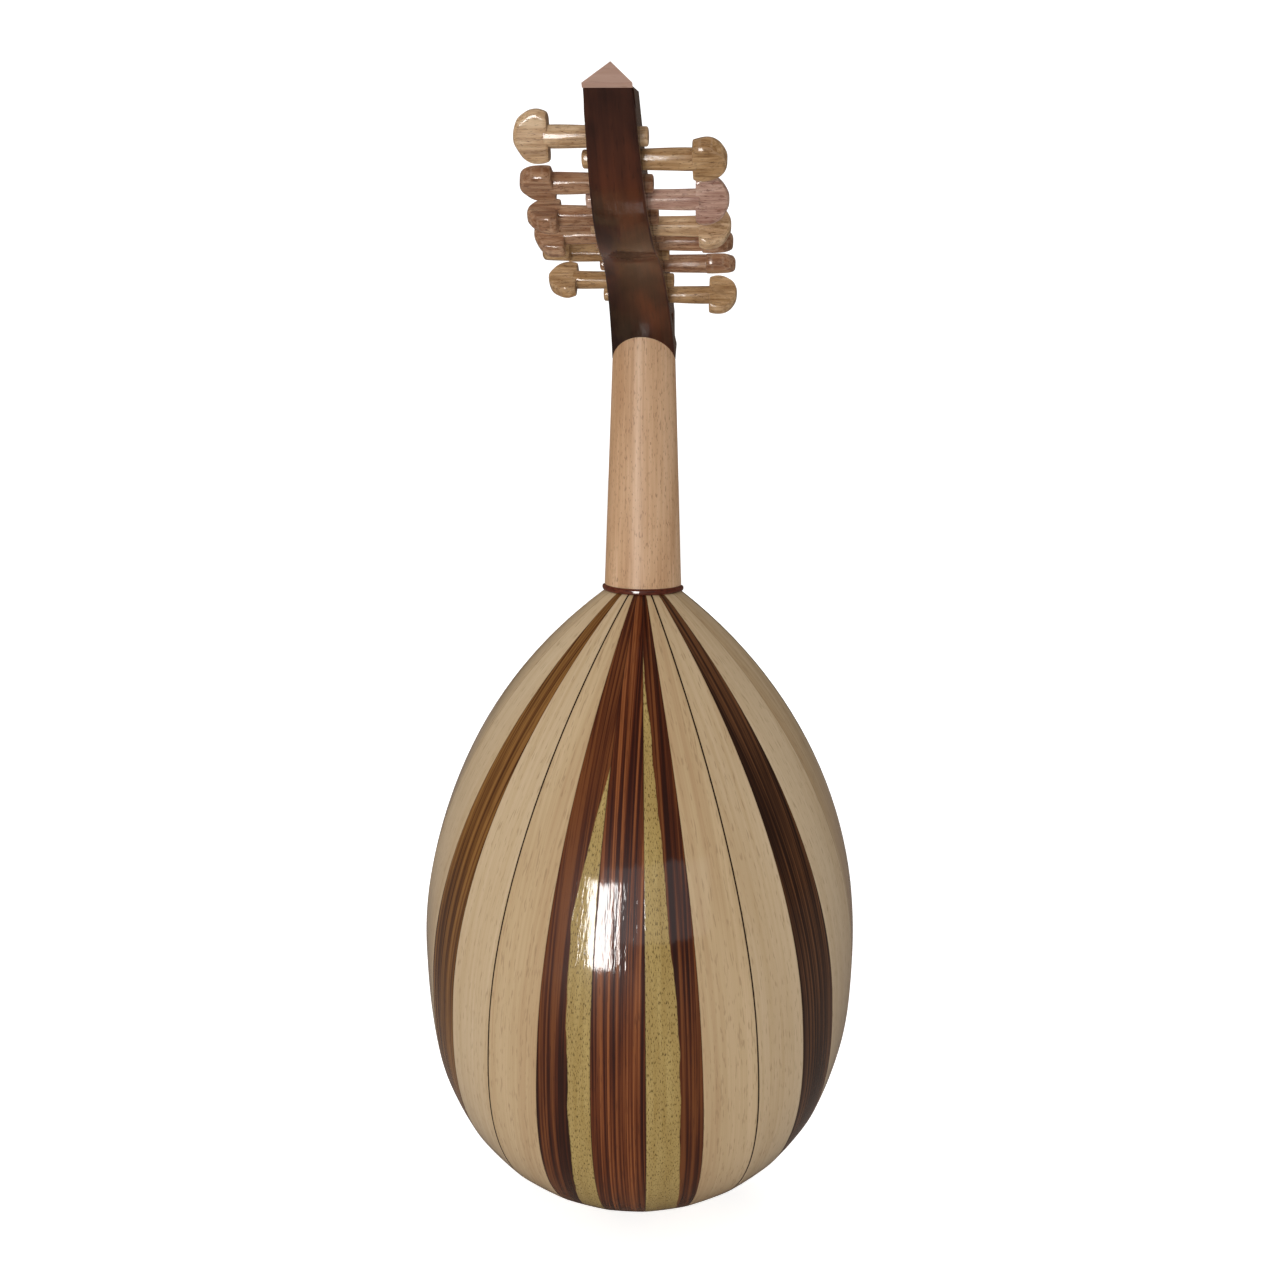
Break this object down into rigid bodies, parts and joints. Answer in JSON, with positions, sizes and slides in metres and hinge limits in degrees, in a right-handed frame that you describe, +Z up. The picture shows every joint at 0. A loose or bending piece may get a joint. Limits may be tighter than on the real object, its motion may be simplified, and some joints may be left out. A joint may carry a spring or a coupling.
{
  "type": "oud",
  "caption": "Short-necked lute with a deep bowl of pale and dark ribs, a bent-back pegbox with turning wooden pegs, paired strings and pierced rosettes",
  "frame": {"origin": "middle of the neck's flat top at the nut, where a hanger's yoke takes the instrument between neck and pegbox", "axes": "+Z up the neck, -Y out of the soundboard, +Y out of the bowl's back, X across, with X = 0 the centre line"},
  "size_m": [0.3456, 0.2183, 0.7963],
  "materials": {
    "light_rib": "pale beech under thick clear gloss varnish",
    "dark_rib": "dark red-brown straight-grained wood under gloss varnish",
    "two_tone_rib": "dark heartwood running into olive-yellow sapwood, gloss varnish",
    "purfling": "black line between two pale ribs",
    "inner_wood": "raw softwood, unvarnished",
    "end_cap": "dark red-brown, gloss varnish",
    "soundboard": "straight-grained spruce, thin satin varnish",
    "binding": "dark wood edge strip, gloss varnish",
    "rosette": "thin pierced wood, satin",
    "pickguard": "thin dark wood leaf, satin",
    "neck": "warm beech with fine pores, gloss varnish",
    "neck_ring": "dark moulding, high gloss",
    "fingerboard": "ebony, satin",
    "nut": "polished bone",
    "pegbox": "very dark red-brown, high gloss varnish",
    "pegbox_tip": "pale pinkish wood plate, satin",
    "peg": "turned and carved pale wood, thin varnish",
    "bridge": "dark hardwood, satin",
    "string": "nylon trebles and wound basses"
  },
  "bodies": {
    "oud_body": {"rib_center": "dark_rib", "rib_left_1": "two_tone_rib", "rib_left_2": "light_rib", "rib_left_3": "light_rib", "rib_left_4": "dark_rib", "rib_left_5": "light_rib", "rib_left_6": "light_rib", "purfling_left": "purfling", "rib_right_1": "two_tone_rib", "rib_right_2": "light_rib", "rib_right_3": "light_rib", "rib_right_4": "dark_rib", "rib_right_5": "light_rib", "rib_right_6": "light_rib", "purfling_right": "purfling", "end_cap": "end_cap", "neck_block": "inner_wood", "tail_block": "inner_wood", "lining": "inner_wood", "braces": "inner_wood", "soundboard_left": "soundboard", "soundboard_right": "soundboard", "edge_binding": "binding", "rosette_large": "rosette", "rosette_small_left": "rosette", "rosette_small_right": "rosette", "pickguard": "pickguard", "neck": "neck", "neck_ring": "neck_ring", "fingerboard": "fingerboard", "nut": "nut", "pegbox_heel": "pegbox", "pegbox_back": "pegbox", "pegbox_wall_left": "pegbox", "pegbox_wall_right": "pegbox", "pegbox_end_block": "pegbox", "pegbox_tip": "pegbox_tip", "bridge": "bridge", "string_course_1": "string", "string_course_2": "string", "string_course_3": "string", "string_course_4": "string", "string_course_5": "string", "string_course_6": "string"},
    "peg_left_1_turning": {"peg_left_1": "peg"},
    "peg_left_2_turning": {"peg_left_2": "peg"},
    "peg_left_3_turning": {"peg_left_3": "peg"},
    "peg_left_4_turning": {"peg_left_4": "peg"},
    "peg_left_5_turning": {"peg_left_5": "peg"},
    "peg_left_6_turning": {"peg_left_6": "peg"},
    "peg_right_1_turning": {"peg_right_1": "peg"},
    "peg_right_2_turning": {"peg_right_2": "peg"},
    "peg_right_3_turning": {"peg_right_3": "peg"},
    "peg_right_4_turning": {"peg_right_4": "peg"},
    "peg_right_5_turning": {"peg_right_5": "peg"},
    "peg_right_6_turning": {"peg_right_6": "peg"}
  },
  "joints": [
    {"name": "peg_left_1_turn", "type": "hinge", "parent": "oud_body", "child": "peg_left_1_turning", "pos_m": [0, 0.04346, 0.01537], "axis": [1, 0, 0], "continuous": true},
    {"name": "peg_left_2_turn", "type": "hinge", "parent": "oud_body", "child": "peg_left_2_turning", "pos_m": [0, 0.07341, 0.02839], "axis": [1, 0, 0], "continuous": true},
    {"name": "peg_left_3_turn", "type": "hinge", "parent": "oud_body", "child": "peg_left_3_turning", "pos_m": [0, 0.10519, 0.03401], "axis": [1, 0, 0], "continuous": true},
    {"name": "peg_left_4_turn", "type": "hinge", "parent": "oud_body", "child": "peg_left_4_turning", "pos_m": [0, 0.1314, 0.03989], "axis": [1, 0, 0], "continuous": true},
    {"name": "peg_left_5_turn", "type": "hinge", "parent": "oud_body", "child": "peg_left_5_turning", "pos_m": [0, 0.15512, 0.05247], "axis": [1, 0, 0], "continuous": true},
    {"name": "peg_left_6_turn", "type": "hinge", "parent": "oud_body", "child": "peg_left_6_turning", "pos_m": [0, 0.17552, 0.07129], "axis": [1, 0, 0], "continuous": true},
    {"name": "peg_right_1_turn", "type": "hinge", "parent": "oud_body", "child": "peg_right_1_turning", "pos_m": [0, 0.03161, 0.00759], "axis": [-1, 0, 0], "continuous": true},
    {"name": "peg_right_2_turn", "type": "hinge", "parent": "oud_body", "child": "peg_right_2_turning", "pos_m": [0, 0.06006, 0.02362], "axis": [-1, 0, 0], "continuous": true},
    {"name": "peg_right_3_turn", "type": "hinge", "parent": "oud_body", "child": "peg_right_3_turning", "pos_m": [0, 0.09148, 0.03251], "axis": [-1, 0, 0], "continuous": true},
    {"name": "peg_right_4_turn", "type": "hinge", "parent": "oud_body", "child": "peg_right_4_turning", "pos_m": [0, 0.12024, 0.03648], "axis": [-1, 0, 0], "continuous": true},
    {"name": "peg_right_5_turn", "type": "hinge", "parent": "oud_body", "child": "peg_right_5_turning", "pos_m": [0, 0.14526, 0.04624], "axis": [-1, 0, 0], "continuous": true},
    {"name": "peg_right_6_turn", "type": "hinge", "parent": "oud_body", "child": "peg_right_6_turning", "pos_m": [0, 0.16683, 0.06225], "axis": [-1, 0, 0], "continuous": true}
  ]
}
